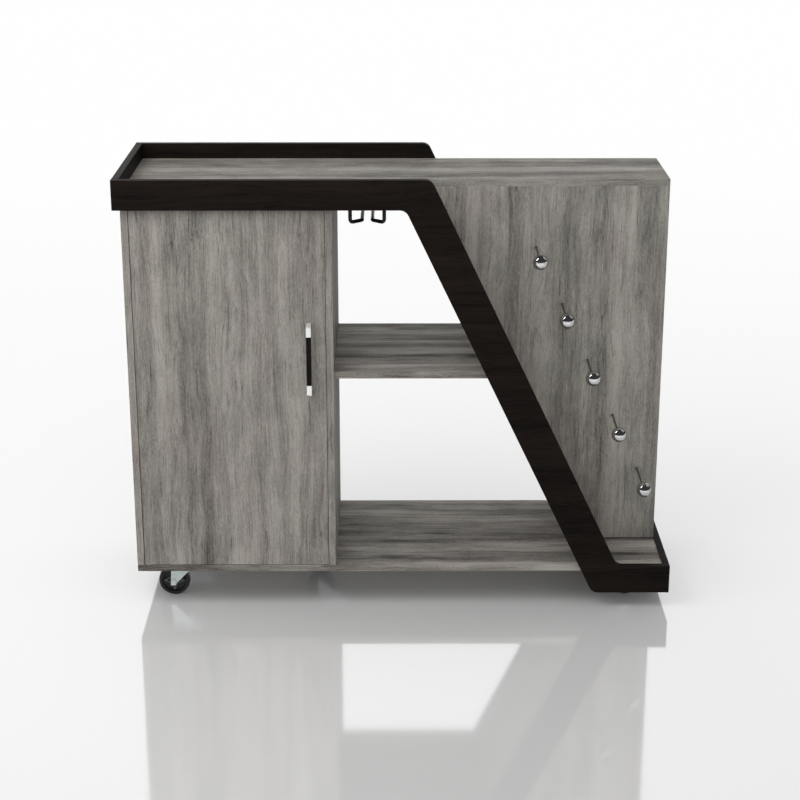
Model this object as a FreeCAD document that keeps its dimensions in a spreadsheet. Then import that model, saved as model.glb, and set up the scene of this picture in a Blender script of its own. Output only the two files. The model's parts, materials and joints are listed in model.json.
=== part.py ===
"""Bar cart on casters: grey boards between two dark Z-shaped frames.

The cart stands on Z = 0, X runs along its length, -Y is its front.
Every size is a cell of the sheet "Sizes"; lengths are in millimetres.
"""
import FreeCAD, Part
import Sketcher
import math
import os
import re

DOC = FreeCAD.newDocument("BarCart")
SHEET = DOC.addObject("Spreadsheet::Sheet", "Sizes")

SIZES = [
    # the whole cart
    ("overall_length", 1200),
    ("overall_depth", 410),
    ("overall_height", 972),
    ("board", 15),
    ("back_sheet", 5),
    # dark Z frames: top rail, leaning band, bottom rail
    ("rail", 64),
    ("lip", 34),
    ("rail_stands", 2),
    ("bend_x", 65),
    ("band", 84),
    ("lean", 0.478),
    ("bend_radius", 20),
    # grey boards
    ("notch_margin", 19),
    ("peg_panel_front", 37),
    ("divider_x", -150.5),
    ("shelf_top", 546),
    ("shelf_setback", 13),
    ("cabinet_shelf_top", 515),
    ("cabinet_shelf_gap", 5),
    # dowels, screws and shelf pins
    ("dowel_radius", 4),
    ("dowel_length", 30),
    ("dowel_in_face", 10),
    ("bore_clearance", 0.05),
    ("confirmat_radius", 2.5),
    ("confirmat_length", 50),
    ("confirmat_head_radius", 4.5),
    ("confirmat_head", 4),
    ("shelf_pin_radius", 2.5),
    ("shelf_pin_half", 8),
    # door, its pivots and its catch
    ("door_gap", 1),
    ("door_edge_round", 2),
    ("pivot_inset_x", 8),
    ("pivot_inset_y", 5),
    ("pivot_radius", 2.5),
    ("pivot_in_door", 20),
    ("pivot_in_bush", 11),
    ("bush_wall", 1.5),
    ("bush_flange", 2.3),
    ("bush_depth", 12),
    ("running_gap", 0.3),
    ("running_fit", 0.05),
    ("catch_wide", 12),
    ("catch_high", 46),
    ("catch_deep", 14),
    ("catch_z", 720),
    ("strike_thick", 1.5),
    # door handle
    ("handle_inset", 35.7),
    ("handle_z", 582),
    ("handle_length", 156),
    ("handle_grip_length", 108),
    ("handle_wide", 10.6),
    ("handle_reach", 28),
    ("handle_bar", 10),
    ("handle_post", 11),
    ("handle_round", 4),
    ("handle_screw_radius", 2),
    ("handle_screw_head_radius", 4),
    ("handle_screw_head", 2.2),
    ("handle_screw_bite", 12),
    # pegs on the slanting line
    ("peg_count", 5),
    ("peg_from_top", 151),
    ("peg_from_base", 170),
    ("peg_off_band", 144.6),
    ("peg_drift", 1.5),
    ("peg_reach", 130),
    ("peg_radius", 2.5),
    ("peg_collar_radius", 3.5),
    ("peg_collar", 2),
    ("peg_stud_radius", 2),
    ("peg_nut_radius", 4.5),
    ("peg_nut", 4),
    ("knob_radius", 16.2),
    ("knob_socket", 10),
    # hanging glass rack
    ("rack_off_divider", 73.5),
    ("rack_slot_half", 11),
    ("rack_flare_x", 25),
    ("rack_flare_y", 22),
    ("rack_inset", 35),
    ("rack_drop", 52),
    ("rack_wire_radius", 4),
    ("rack_foot_half", 9),
    ("rack_foot_long", 26),
    ("rack_foot", 2),
    ("rack_screw_radius", 1.9),
    ("rack_screw_head_radius", 3.5),
    ("rack_screw_head", 1.8),
    ("rack_screw_long", 11),
    # casters
    ("caster_inset_x", 101),
    ("caster_inset_y", 66),
    ("caster_middle_off", 5.5),
    ("caster_middle_y", 8),
    ("wheel_radius", 35),
    ("wheel_half", 11),
    ("wheel_edge", 3),
    ("wheel_rim", 8),
    ("wheel_hub_radius", 9),
    ("web_half", 3),
    ("rib_sink", 1),
    ("rib_tip", 24.5),
    ("rib_spread", 9),
    ("rib_across", 2.4),
    ("rib_root", 5),
    ("caster_trail", 28),
    ("axle_radius", 3),
    ("axle_head_radius", 6),
    ("axle_head", 3),
    ("fork_sheet", 2.5),
    ("fork_gap", 1.5),
    ("fork_top_gap", 1.2),
    ("fork_heel", 8.5),
    ("fork_heel_high", 5),
    ("fork_waist", 6.5),
    ("fork_waist_drop", 4),
    ("fork_drop", 11),
    ("fork_foot", 2),
    ("fork_heel_round", 1.5),
    ("fork_toe", 17),
    ("collar_radius", 14),
    ("collar", 6.5),
    ("plate_sheet", 2.5),
    ("plate_half_x", 30),
    ("plate_half_y", 21),
    ("plate_corner", 5),
    ("plate_hole_x", 22),
    ("plate_hole_y", 14),
    ("plate_screw_radius", 2.2),
    ("plate_screw_head_radius", 4),
    ("plate_screw_head", 2),
    ("plate_screw_long", 12),
    ("kingpin_radius", 4),
    ("kingpin_head_radius", 7),
    ("kingpin_head", 3),
]
NAMES = re.compile(r"\b(" + "|".join(name for name, _ in SIZES) + r")\b")

for row, (name, number) in enumerate(SIZES, start=1):
    SHEET.set(f"A{row}", name)
    SHEET.set(f"B{row}", str(number))
    SHEET.setAlias(f"B{row}", name)
DOC.recompute()

# planes and lines that several pieces share, as expressions of the sheet
LEFT = "(-overall_length / 2)"
RIGHT = "(overall_length / 2)"
FRONT = "(-overall_depth / 2)"
BACK = "(overall_depth / 2)"
IN_LEFT = f"({LEFT} + board)"
IN_RIGHT = f"({RIGHT} - board)"
IN_FRONT = f"({FRONT} + board)"
IN_BACK = f"({BACK} - board)"
# heights, from the floor up through the casters to the top
AXLE_UP = "wheel_radius"
FORK_LOW = "(2 * wheel_radius + fork_top_gap)"
FORK_HIGH = f"({FORK_LOW} + fork_sheet)"
PLATE_LOW = f"({FORK_HIGH} + collar + running_gap)"
BASE_LOW = f"({PLATE_LOW} + plate_sheet)"
BASE_TOP = f"({BASE_LOW} + board)"
BOTTOM_RAIL_TOP = f"({BASE_TOP} + rail_stands)"
BOTTOM_RAIL_LOW = f"({BOTTOM_RAIL_TOP} - rail)"
RAIL_LOW = "(overall_height - rail)"
TOP_HIGH = "(overall_height - lip)"
TOP_LOW = f"({TOP_HIGH} - board)"
# the peg board, the cabinet and its door
PEG_FACE = "(-peg_panel_front)"
PEG_BACK = f"({PEG_FACE} + board)"
PEG_TIP = "(-peg_reach + knob_radius - knob_socket)"
DIVIDER_LEFT = "(divider_x - board / 2)"
DIVIDER_RIGHT = "(divider_x + board / 2)"
CABINET_LEFT = f"({IN_LEFT} + board)"
CABINET_BACK = f"({IN_BACK} - back_sheet)"
DOOR_LEFT = f"({CABINET_LEFT} + door_gap)"
DOOR_RIGHT = f"({DIVIDER_LEFT} - door_gap)"
DOOR_LOW = f"({BASE_TOP} + door_gap)"
DOOR_HIGH = f"({RAIL_LOW} - door_gap)"
DOOR_BACK = f"({IN_FRONT} + board)"
PIVOT_X = f"({DOOR_LEFT} + pivot_inset_x)"
PIVOT_Y = f"({IN_FRONT} + pivot_inset_y)"
HANDLE_X = f"({DOOR_RIGHT} - handle_inset)"
# the slanting board, the rack and the casters
SLANT_ACROSS = "(board * sqrt(1 + lean * lean))"
RACK_X = f"({DIVIDER_RIGHT} + rack_off_divider)"
RACK_FRONT = f"({IN_FRONT} + rack_inset)"
RACK_BACK = f"({IN_BACK} - rack_inset)"
CASTER_RIGHT = f"({IN_RIGHT} - caster_inset_x)"
CASTER_LEFT = f"({IN_LEFT} + caster_inset_x)"
CASTER_FRONT = f"({IN_FRONT} + caster_inset_y)"
CASTER_BACK = f"({IN_BACK} - caster_inset_y)"
CHEEK_IN = "(wheel_half + fork_gap)"
CHEEK_OUT = f"({CHEEK_IN} + fork_sheet)"

TURNED = {
    "x": FreeCAD.Rotation(FreeCAD.Vector(0, 1, 0), 90),
    "y": FreeCAD.Rotation(FreeCAD.Vector(1, 0, 0), -90),
    "z": FreeCAD.Rotation(),
}


def value(expression):
    """The number that an expression of the sheet stands for."""
    return float(SHEET.evalExpression(expression))


def bind(item, prop, expression):
    """Tie a property to the sheet."""
    item.setExpression(prop, NAMES.sub(r"Sizes.\1", expression))


def place(item, x, y, z):
    """Bind an object's position to the sheet."""
    for axis, expression in zip("xyz", (x, y, z)):
        bind(item, f"Placement.Base.{axis}", expression)


def band_outer(z):
    """X of the leaning band's outer edge at a height."""
    return f"(bend_x + lean * (overall_height - ({z})))"


def band_inner(z):
    """X of the leaning band's inner edge at a height."""
    return f"({band_outer(z)} - band)"


# ---------------------------------------------------------------- primitives


def box(name, x, y, z):
    """A Part::Box between pairs of expressions."""
    item = DOC.addObject("Part::Box", name)
    for prop, (low, high) in zip(("Length", "Width", "Height"), (x, y, z)):
        bind(item, prop, f"({high}) - ({low})")
    place(item, x[0], y[0], z[0])
    return item


def rod(name, radius, length, start, axis):
    """A Part::Cylinder from a start point along +X, +Y or +Z."""
    item = DOC.addObject("Part::Cylinder", name)
    bind(item, "Radius", radius)
    bind(item, "Height", length)
    item.Placement = FreeCAD.Placement(FreeCAD.Vector(), TURNED[axis])
    place(item, *start)
    return item


def group(label, items):
    """Separate solids that share one node."""
    item = DOC.addObject("Part::Compound", label)
    item.Links = items
    return finished(label, item)


def fused(name, items):
    """One solid of several."""
    item = DOC.addObject("Part::MultiFuse", name)
    item.Shapes = items
    item.Refine = True
    return item


def cut(name, base, tools):
    """A solid less its bores."""
    if not tools:
        return base
    item = DOC.addObject("Part::Cut", name)
    item.Base = base
    item.Tool = tools[0] if len(tools) == 1 else fused(f"{name}_bores", tools)
    return item


PARTS = {}


def finished(label, item):
    """Name a sub-part and keep it for export."""
    item.Label = label
    PARTS[label] = item
    return item


# ------------------------------------------------------------ sketched bodies


def new_body(label):
    """A PartDesign body that becomes one node."""
    return finished(label, DOC.addObject("PartDesign::Body", f"{label}_body"))


def new_sketch(body, role, name, offset=None):
    """A sketch on an origin plane of its own body."""
    sketch = body.newObject("Sketcher::SketchObject", f"{body.Name}_{name}")
    planes = body.Origin.OriginFeatures
    plane = [item for item in planes if item.Role == role][0]
    sketch.AttachmentSupport = [(plane, "")]
    sketch.MapMode = "FlatFace"
    if offset:
        bind(sketch, "AttachmentOffset.Base.z", offset)
    return sketch


def polygon(sketch, points):
    """A closed outline whose corners are tied to the sheet."""
    corners = [FreeCAD.Vector(value(a), value(b), 0) for a, b in points]
    count = len(corners)
    first = sketch.GeometryCount
    for index, corner in enumerate(corners):
        sketch.addGeometry(Part.LineSegment(corner, corners[(index + 1) % count]))
    for index in range(count):
        after = first + (index + 1) % count
        sketch.addConstraint(
            Sketcher.Constraint("Coincident", first + index, 2, after, 1)
        )
    for index, (a, b) in enumerate(points):
        for kind, expression in (("DistanceX", a), ("DistanceY", b)):
            tie = Sketcher.Constraint(kind, -1, 1, first + index, 1, value(expression))
            number = sketch.addConstraint(tie)
            bind(sketch, f"Constraints[{number}]", expression)


def circle(sketch, a, b, radius):
    """A circle whose centre and radius are tied to the sheet."""
    centre = FreeCAD.Vector(value(a), value(b), 0)
    normal = FreeCAD.Vector(0, 0, 1)
    index = sketch.addGeometry(Part.Circle(centre, normal, value(radius)))
    ties = [
        (Sketcher.Constraint("DistanceX", -1, 1, index, 3, value(a)), a),
        (Sketcher.Constraint("DistanceY", -1, 1, index, 3, value(b)), b),
        (Sketcher.Constraint("Radius", index, value(radius)), radius),
    ]
    for tie, expression in ties:
        bind(sketch, f"Constraints[{sketch.addConstraint(tie)}]", expression)


def feature(body, kind, name, sketch):
    """A PartDesign feature made from a sketch."""
    item = body.newObject(f"PartDesign::{kind}", f"{body.Name}_{name}")
    item.Profile = sketch
    sketch.Visibility = False
    return item


def pad(body, sketch, length, both_ways=False, name="pad"):
    """Extrude a sketch."""
    item = feature(body, "Pad", name, sketch)
    bind(item, "Length", length)
    if both_ways:
        item.Midplane = True
    return item


def pocket(body, sketch, length, reverse=False, both_ways=False, name="pocket"):
    """Cut a sketch into the body, and make sure that it cuts."""
    DOC.recompute()
    before = body.Shape.Volume
    item = feature(body, "Pocket", name, sketch)
    bind(item, "Length", length)
    item.Reversed = reverse
    item.Midplane = both_ways
    DOC.recompute()
    if body.Shape.Volume >= before:
        raise RuntimeError(f"{body.Label}: {name} cuts nothing")
    return item


def turn(body, sketch, role, name="turn"):
    """Revolve a sketch fully about one of the body's own axes."""
    item = feature(body, "Revolution", name, sketch)
    axes = body.Origin.OriginFeatures
    axis = [entry for entry in axes if entry.Role == role][0]
    item.ReferenceAxis = (axis, [""])
    item.Angle = 360
    return item


def round_edges(body, base, radius, wanted, name="round"):
    """Fillet the edges that a test picks out."""
    DOC.recompute()
    edges = [
        f"Edge{number}"
        for number, edge in enumerate(base.Shape.Edges, start=1)
        if wanted(edge)
    ]
    if not edges:
        raise RuntimeError(f"{body.Label}: no edge to round")
    item = body.newObject("PartDesign::Fillet", f"{body.Name}_{name}")
    item.Base = (base, edges)
    bind(item, "Radius", radius)
    DOC.recompute()
    return item


def runs_along(edge, axis):
    """Whether a straight edge runs along X, Y or Z (0, 1 or 2)."""
    if edge.Curve.TypeId != "Part::GeomLine":
        return False
    return abs(abs(edge.Curve.Direction[axis]) - 1) < 1e-6


def is_near(edge, x, z, reach=0.01):
    """Whether an edge's middle lies at an X and a Z."""
    middle = edge.CenterOfMass
    return abs(middle.x - x) < reach and abs(middle.z - z) < reach


# ---------------------------------------------------------------- fasteners


def dowel_list():
    """Each dowel: its face end, its axis, and the way it points."""
    dowels = []
    edge_z = f"({TOP_HIGH} - board / 2)"
    base_z = f"({BASE_TOP} - board / 2)"
    for share in ("-0.86", "-0.5", "-0.05"):
        x = f"({IN_RIGHT} * {share})"
        dowels.append((x, FRONT, edge_z, "y", 1))
        dowels.append((x, BACK, edge_z, "y", -1))
    dowels.append((f"({IN_RIGHT} * 0.7)", BACK, base_z, "y", -1))
    for share in ("0.84", "0.95"):
        x = f"({IN_RIGHT} * {share})"
        dowels.append((x, FRONT, base_z, "y", 1))
        dowels.append((x, BACK, base_z, "y", -1))
    for y in (f"({IN_FRONT} * 0.7)", f"({IN_BACK} * 0.7)"):
        dowels.append((LEFT, y, edge_z, "x", 1))
        dowels.append((RIGHT, y, base_z, "x", -1))
    uprights = [
        (f"({CABINET_LEFT} - board / 2)", (f"({IN_FRONT} * 0.6)", f"({IN_BACK} * 0.6)")),
        ("divider_x", (f"({IN_FRONT} * 0.6)", f"({IN_BACK} * 0.6)")),
        (f"({IN_RIGHT} - board / 2)", (f"({IN_BACK} * 0.2)", f"({IN_BACK} * 0.8)")),
    ]
    for x, places in uprights:
        for y in places:
            dowels.append((x, y, TOP_HIGH, "z", -1))
    for share in ("0.35", "0.75"):
        dowels.append((f"({IN_RIGHT} * {share})", f"({PEG_FACE} + board / 2)", TOP_HIGH, "z", -1))
    return dowels


def screw_list():
    """Each screw that holds an upright to the base from below."""
    screws = []
    pairs = [
        (f"({CABINET_LEFT} - board / 2)", (f"({IN_FRONT} * 0.8)", f"({IN_BACK} * 0.8)")),
        ("divider_x", (f"({IN_FRONT} * 0.8)", f"({IN_BACK} * 0.8)")),
        (f"({IN_RIGHT} - board / 2)", (f"({IN_BACK} * 0.1)", f"({IN_BACK} * 0.9)")),
    ]
    for x, places in pairs:
        screws.extend((x, y) for y in places)
    return screws


def dowel_solid(name, dowel, clearance):
    """A dowel, or its bore, sunk below the outer face by the blind wall."""
    x, y, z, axis, way = dowel
    blind = "(board - dowel_in_face)"
    reach = f"({blind})" if way > 0 else f"(-{blind} - dowel_length)"
    start = {
        "x": (f"({x} + {reach})", y, z),
        "y": (x, f"({y} + {reach})", z),
        "z": (x, y, f"({z} + {reach})"),
    }[axis]
    return rod(name, f"dowel_radius + {clearance}", "dowel_length", start, axis)


DOWELS = dowel_list()
SCREWS = screw_list()


def dowel_bores(label, wanted):
    """The bores that some of the dowels leave in one board."""
    chosen = [dowel for dowel in DOWELS if wanted(dowel)]
    return [
        dowel_solid(f"{label}_dowel_bore_{index}", dowel, "bore_clearance")
        for index, dowel in enumerate(chosen)
    ]


def screw_solid(name, x, y, clearance):
    """A confirmat screw or its bore, head flush with the base's underside."""
    shank = rod(
        f"{name}_shank", f"confirmat_radius + {clearance}", "confirmat_length",
        (x, y, BASE_LOW), "z",
    )
    head = rod(
        f"{name}_head", f"confirmat_head_radius + {clearance}", "confirmat_head",
        (x, y, BASE_LOW), "z",
    )
    return fused(name, [shank, head])


def make_dowels():
    group("dowels", [
        dowel_solid(f"dowel_{index}", dowel, "0") for index, dowel in enumerate(DOWELS)
    ])


def make_base_screws():
    group("base_screws", [
        screw_solid(f"base_screw_{index}", x, y, "0")
        for index, (x, y) in enumerate(SCREWS)
    ])


def screw_bores(label, wanted=lambda x: True):
    """The bores that the base screws leave in one board."""
    return [
        screw_solid(f"{label}_screw_bore_{index}", x, y, "bore_clearance")
        for index, (x, y) in enumerate(SCREWS)
        if wanted(x)
    ]


# -------------------------------------------------------------- dark frames


def frame_outline():
    """The Z shape: top rail, leaning band, bottom rail."""
    return [
        (LEFT, "overall_height"),
        ("bend_x", "overall_height"),
        (band_outer(BOTTOM_RAIL_TOP), BOTTOM_RAIL_TOP),
        (RIGHT, BOTTOM_RAIL_TOP),
        (RIGHT, BOTTOM_RAIL_LOW),
        (band_inner(BOTTOM_RAIL_LOW), BOTTOM_RAIL_LOW),
        (band_inner(RAIL_LOW), RAIL_LOW),
        (LEFT, RAIL_LOW),
    ]


def frame_board(label, low_y, facing):
    """One Z board, its four bends rounded, bored for its dowels."""
    blank = DOC.addObject("PartDesign::Body", f"{label}_blank")
    sketch = new_sketch(blank, "XZ_Plane", "outline")
    polygon(sketch, frame_outline())
    board = pad(blank, sketch, "board")
    board.Reversed = True
    bends = [frame_outline()[index] for index in (1, 2, 5, 6)]
    places = [(value(x), value(z)) for x, z in bends]
    round_edges(
        blank, board, "bend_radius",
        lambda edge: runs_along(edge, 1) and any(is_near(edge, x, z) for x, z in places),
    )
    place(blank, "0", low_y, "0")
    bores = dowel_bores(label, lambda dowel: dowel[3] == "y" and dowel[1] == facing)
    return finished(label, cut(f"{label}_cut", blank, bores))


def make_frames():
    frame_board("front_frame", FRONT, FRONT)
    frame_board("back_frame", IN_BACK, BACK)


def make_end_boards():
    """The short dark boards that close the tray and the lower right end."""
    tray = box(
        "tray_end_blank", (LEFT, IN_LEFT), (IN_FRONT, IN_BACK), (RAIL_LOW, "overall_height")
    )
    bores = dowel_bores("tray_end", lambda dowel: dowel[0] == LEFT)
    finished("tray_end_board", cut("tray_end_cut", tray, bores))
    low = box(
        "lower_end_blank", (IN_RIGHT, RIGHT), (IN_FRONT, IN_BACK),
        (BOTTOM_RAIL_LOW, BOTTOM_RAIL_TOP),
    )
    bores = dowel_bores("lower_end", lambda dowel: dowel[0] == RIGHT)
    finished("lower_end_board", cut("lower_end_cut", low, bores))


# --------------------------------------------------------------- grey boards


def make_top_panel():
    """The top, cut back over the pegs, with blind bores."""
    notch = f"({band_inner(TOP_LOW)} + {SLANT_ACROSS} + notch_margin)"
    blank = DOC.addObject("PartDesign::Body", "top_panel_blank")
    sketch = new_sketch(blank, "XY_Plane", "outline")
    polygon(sketch, [
        (IN_LEFT, IN_FRONT),
        (notch, IN_FRONT),
        (notch, PEG_FACE),
        (IN_RIGHT, PEG_FACE),
        (IN_RIGHT, IN_BACK),
        (IN_LEFT, IN_BACK),
    ])
    pad(blank, sketch, "board")
    place(blank, "0", "0", TOP_LOW)
    bores = dowel_bores("top", lambda dowel: TOP_HIGH in dowel[2])
    bores += rack_screw_solids("top_rack_bore", "bore_clearance")
    finished("top_panel", cut("top_panel_cut", blank, bores))


def make_base_panel():
    """The full base, screwed to the uprights and carried by the casters."""
    blank = box("base_blank", (IN_LEFT, IN_RIGHT), (IN_FRONT, IN_BACK), (BASE_LOW, BASE_TOP))
    bores = dowel_bores("base", lambda dowel: BASE_TOP in dowel[2])
    bores += screw_bores("base")
    bores += plate_screw_solids("base_plate_bore", "bore_clearance", False)
    bores.append(bush_bore("base_bush_bore", f"{BASE_TOP} - bush_depth"))
    finished("base_panel", cut("base_panel_cut", blank, bores))


def upright(label, x, low_y, extra):
    """A vertical board between base and top."""
    blank = box(f"{label}_blank", x, (low_y, IN_BACK), (BASE_TOP, TOP_LOW))
    middle = value(f"({x[0]} + {x[1]}) / 2")
    bores = dowel_bores(
        label, lambda dowel: dowel[3] == "z" and abs(value(dowel[0]) - middle) < 1
    )
    bores += screw_bores(label, lambda place_x: abs(value(place_x) - middle) < 1)
    finished(label, cut(f"{label}_cut", blank, bores + extra))


def make_uprights():
    left_pins = pin_solids("left_pin_bore", CABINET_LEFT, "bore_clearance")
    upright("left_side_panel", (IN_LEFT, CABINET_LEFT), IN_FRONT, left_pins)
    right_pins = pin_solids("right_pin_bore", DIVIDER_LEFT, "bore_clearance")
    upright("divider_panel", (DIVIDER_LEFT, DIVIDER_RIGHT), IN_FRONT, right_pins)
    upright("right_side_panel", (f"({IN_RIGHT} - board)", IN_RIGHT), PEG_BACK, [])


def sloped_board(label, points, low_y, high_y):
    """A board drawn from the front and extruded towards the back."""
    body = new_body(label)
    sketch = new_sketch(body, "XZ_Plane", "outline")
    polygon(sketch, points)
    board = pad(body, sketch, f"({high_y}) - ({low_y})")
    board.Reversed = True
    place(body, "0", low_y, "0")
    return body


def make_slanted_panel():
    """The leaning board behind the band; it carries the middle shelf."""
    sloped_board("slanted_panel", [
        (band_inner(TOP_LOW), TOP_LOW),
        (f"({band_inner(TOP_LOW)} + {SLANT_ACROSS})", TOP_LOW),
        (f"({band_inner(BASE_TOP)} + {SLANT_ACROSS})", BASE_TOP),
        (band_inner(BASE_TOP), BASE_TOP),
    ], IN_FRONT, IN_BACK)


def make_peg_panel():
    """The set-back board that carries the pegs."""
    blank = DOC.addObject("PartDesign::Body", "peg_panel_blank")
    sketch = new_sketch(blank, "XZ_Plane", "outline")
    polygon(sketch, [
        (f"({band_inner(TOP_LOW)} + {SLANT_ACROSS})", TOP_LOW),
        (IN_RIGHT, TOP_LOW),
        (IN_RIGHT, BASE_TOP),
        (f"({band_inner(BASE_TOP)} + {SLANT_ACROSS})", BASE_TOP),
    ])
    board = pad(blank, sketch, "board")
    board.Reversed = True
    place(blank, "0", PEG_FACE, "0")
    bores = [
        rod(f"peg_bore_{index}", "peg_stud_radius + bore_clearance", "board",
            (peg_x(index), PEG_FACE, peg_z(index)), "y")
        for index in range(peg_total())
    ]
    middle = value(f"{PEG_FACE} + board / 2")
    bores += dowel_bores(
        "peg_panel",
        lambda dowel: dowel[3] == "z" and abs(value(dowel[1]) - middle) < 1,
    )
    finished("peg_panel", cut("peg_panel_cut", blank, bores))


def make_shelves():
    """The open middle shelf and the loose shelf in the cabinet."""
    low = "(shelf_top - board)"
    sloped_board("mid_shelf", [
        (DIVIDER_RIGHT, "shelf_top"),
        (band_inner("shelf_top"), "shelf_top"),
        (band_inner(low), low),
        (DIVIDER_RIGHT, low),
    ], f"{IN_FRONT} + shelf_setback", IN_BACK)
    loose = box(
        "cabinet_shelf",
        (f"{CABINET_LEFT} + running_gap", f"{DIVIDER_LEFT} - running_gap"),
        (f"{DOOR_BACK} + cabinet_shelf_gap", f"{CABINET_BACK} - running_gap"),
        ("cabinet_shelf_top - board", "cabinet_shelf_top"),
    )
    finished("cabinet_shelf", loose)


def make_cabinet_back():
    """The thin sheet that closes the cabinet behind."""
    sheet = box(
        "cabinet_back_panel", (CABINET_LEFT, DIVIDER_LEFT), (CABINET_BACK, IN_BACK),
        (BASE_TOP, TOP_LOW),
    )
    finished("cabinet_back_panel", sheet)


def make_header_rail():
    """The narrow rail over the door; the upper pivot turns in it."""
    blank = box(
        "header_blank", (CABINET_LEFT, DIVIDER_LEFT), (IN_FRONT, DOOR_BACK), (RAIL_LOW, TOP_LOW)
    )
    bore = bush_bore("header_bush_bore", RAIL_LOW)
    finished("header_rail", cut("header_rail_cut", blank, [bore]))


def pin_solids(name, wall_x, clearance):
    """Shelf pins, half in a cabinet wall and half under the shelf."""
    pins = []
    for index, share in enumerate(("-0.65", "0.65")):
        pins.append(rod(
            f"{name}_{index}", f"shelf_pin_radius + {clearance}", "2 * shelf_pin_half",
            (f"{wall_x} - shelf_pin_half", f"{IN_BACK} * {share}",
             "cabinet_shelf_top - board - shelf_pin_radius"), "x",
        ))
    return pins


def make_shelf_pins():
    pins = pin_solids("left_pin", CABINET_LEFT, "0")
    pins += pin_solids("right_pin", DIVIDER_LEFT, "0")
    group("shelf_pins", pins)


# ---------------------------------------------------------------------- door


def make_door():
    """The door, bored for its pivots and handle, its hinge edge rounded."""
    blank = DOC.addObject("PartDesign::Body", "door_blank")
    sketch = new_sketch(blank, "XY_Plane", "outline")
    polygon(sketch, [
        (DOOR_LEFT, IN_FRONT), (DOOR_RIGHT, IN_FRONT),
        (DOOR_RIGHT, DOOR_BACK), (DOOR_LEFT, DOOR_BACK),
    ])
    board = pad(blank, sketch, f"{DOOR_HIGH} - {DOOR_LOW}")
    left = value(DOOR_LEFT)
    round_edges(
        blank, board, "door_edge_round",
        lambda edge: runs_along(edge, 2) and abs(edge.CenterOfMass.x - left) < 0.01,
    )
    place(blank, "0", "0", DOOR_LOW)
    bores = [
        rod("door_pivot_bore_low", "pivot_radius + bore_clearance", "pivot_in_door",
            (PIVOT_X, PIVOT_Y, DOOR_LOW), "z"),
        rod("door_pivot_bore_high", "pivot_radius + bore_clearance", "pivot_in_door",
            (PIVOT_X, PIVOT_Y, f"{DOOR_HIGH} - pivot_in_door"), "z"),
    ]
    for index, z in enumerate(handle_post_heights()):
        bores.append(rod(
            f"door_handle_bore_{index}", "handle_screw_radius + bore_clearance", "board",
            (HANDLE_X, IN_FRONT, z), "y",
        ))
    finished("door", cut("door_cut", blank, bores))


def make_pivot_pins():
    """Two steel pins, pressed into the door's top and bottom edges."""
    length = "(pivot_in_door + door_gap + pivot_in_bush)"
    low = rod("pivot_pin_low", "pivot_radius", length,
              (PIVOT_X, PIVOT_Y, f"{DOOR_LOW} - door_gap - pivot_in_bush"), "z")
    high = rod("pivot_pin_high", "pivot_radius", length,
               (PIVOT_X, PIVOT_Y, f"{DOOR_HIGH} - pivot_in_door"), "z")
    group("pivot_pins", [low, high])


def bush_bore(name, z):
    """The hole that a bush is pressed into."""
    return rod(name, "pivot_radius + running_fit + bush_wall + bore_clearance",
               "bush_depth", (PIVOT_X, PIVOT_Y, z), "z")


def make_pivot_bushes():
    """Two flanged nylon bushes; the door hangs between their flanges."""
    flange = "(door_gap - running_gap)"
    sleeve = "pivot_radius + running_fit + bush_wall"
    rings = []
    for name, sleeve_z, flange_z in (
        ("low", f"({BASE_TOP} - bush_depth)", BASE_TOP),
        ("high", RAIL_LOW, f"({RAIL_LOW} - {flange})"),
    ):
        tube = rod(f"bush_{name}_sleeve", sleeve, "bush_depth", (PIVOT_X, PIVOT_Y, sleeve_z), "z")
        rim = rod(f"bush_{name}_flange", "pivot_radius + bush_flange", flange,
                  (PIVOT_X, PIVOT_Y, flange_z), "z")
        bore = rod(f"bush_{name}_bore", "pivot_radius + running_fit",
                   f"bush_depth + {flange}",
                   (PIVOT_X, PIVOT_Y, sleeve_z if name == "low" else flange_z), "z")
        rings.append(cut(f"bush_{name}", fused(f"bush_{name}_solid", [tube, rim]), [bore]))
    group("pivot_bushes", rings)


def make_catch():
    """Magnetic catch on the divider and its strike plate on the door."""
    strike_back = f"({DOOR_BACK} + strike_thick)"
    catch = box(
        "catch_body", (f"{DIVIDER_LEFT} - catch_wide", DIVIDER_LEFT),
        (f"{strike_back} + running_gap", f"{strike_back} + running_gap + catch_deep"),
        ("catch_z - catch_high / 2", "catch_z + catch_high / 2"),
    )
    finished("catch_body", catch)
    strike = box(
        "catch_strike", (f"{DIVIDER_LEFT} - catch_wide - door_gap", f"{DOOR_RIGHT} - door_gap"),
        (DOOR_BACK, strike_back),
        ("catch_z - catch_high / 2", "catch_z + catch_high / 2"),
    )
    finished("catch_strike", strike)


# -------------------------------------------------------------------- handle


def handle_post_heights():
    """Heights of the handle's two posts, bottom first."""
    reach = "(handle_length / 2 - handle_post / 2)"
    return [f"(handle_z - {reach})", f"(handle_z + {reach})"]


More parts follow.
